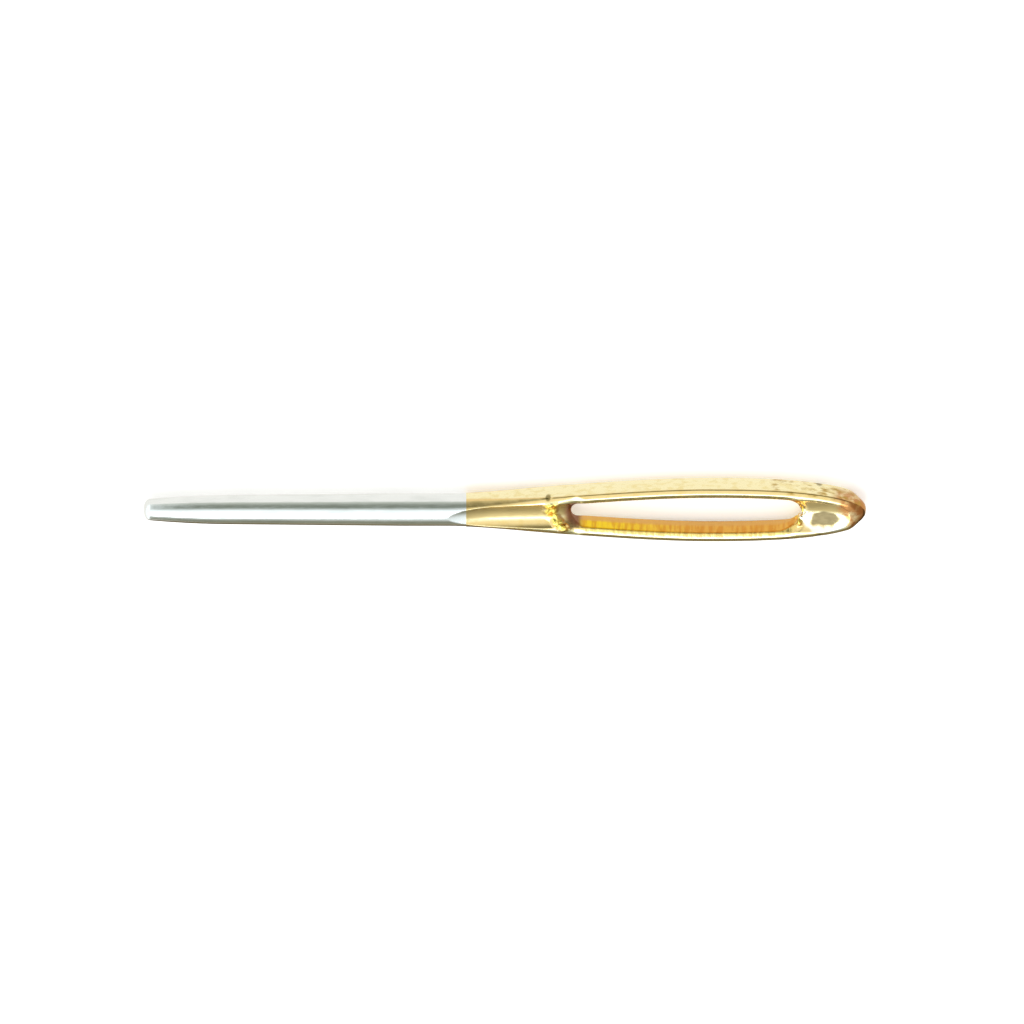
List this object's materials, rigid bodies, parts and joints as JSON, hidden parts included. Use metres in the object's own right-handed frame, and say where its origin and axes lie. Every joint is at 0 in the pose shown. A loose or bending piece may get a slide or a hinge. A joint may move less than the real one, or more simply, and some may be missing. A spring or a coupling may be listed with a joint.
{
  "type": "yarn needle",
  "caption": "Blunt yarn needle with a round nickel-plated shaft that widens into a flat, gold-plated head with guttered faces and a long eye.",
  "frame": {"origin": "on the needle's axis at the middle of its length", "axes": "+X along the axis towards the crown, +Y across the width of the head, +Z through the thickness of the head, square to its face"},
  "size_m": [0.06, 0.0052, 0.0028],
  "materials": {
    "steel": "drawn and pressed wire, wholly covered by the nickel",
    "nickel": "polished nickel plate",
    "gold": "polished gold plate with burrs and pits at the ends of the eye"
  },
  "bodies": {
    "root": {"steel_blank": "steel", "nickel_plating": "nickel", "gold_plating": "gold"}
  },
  "joints": []
}
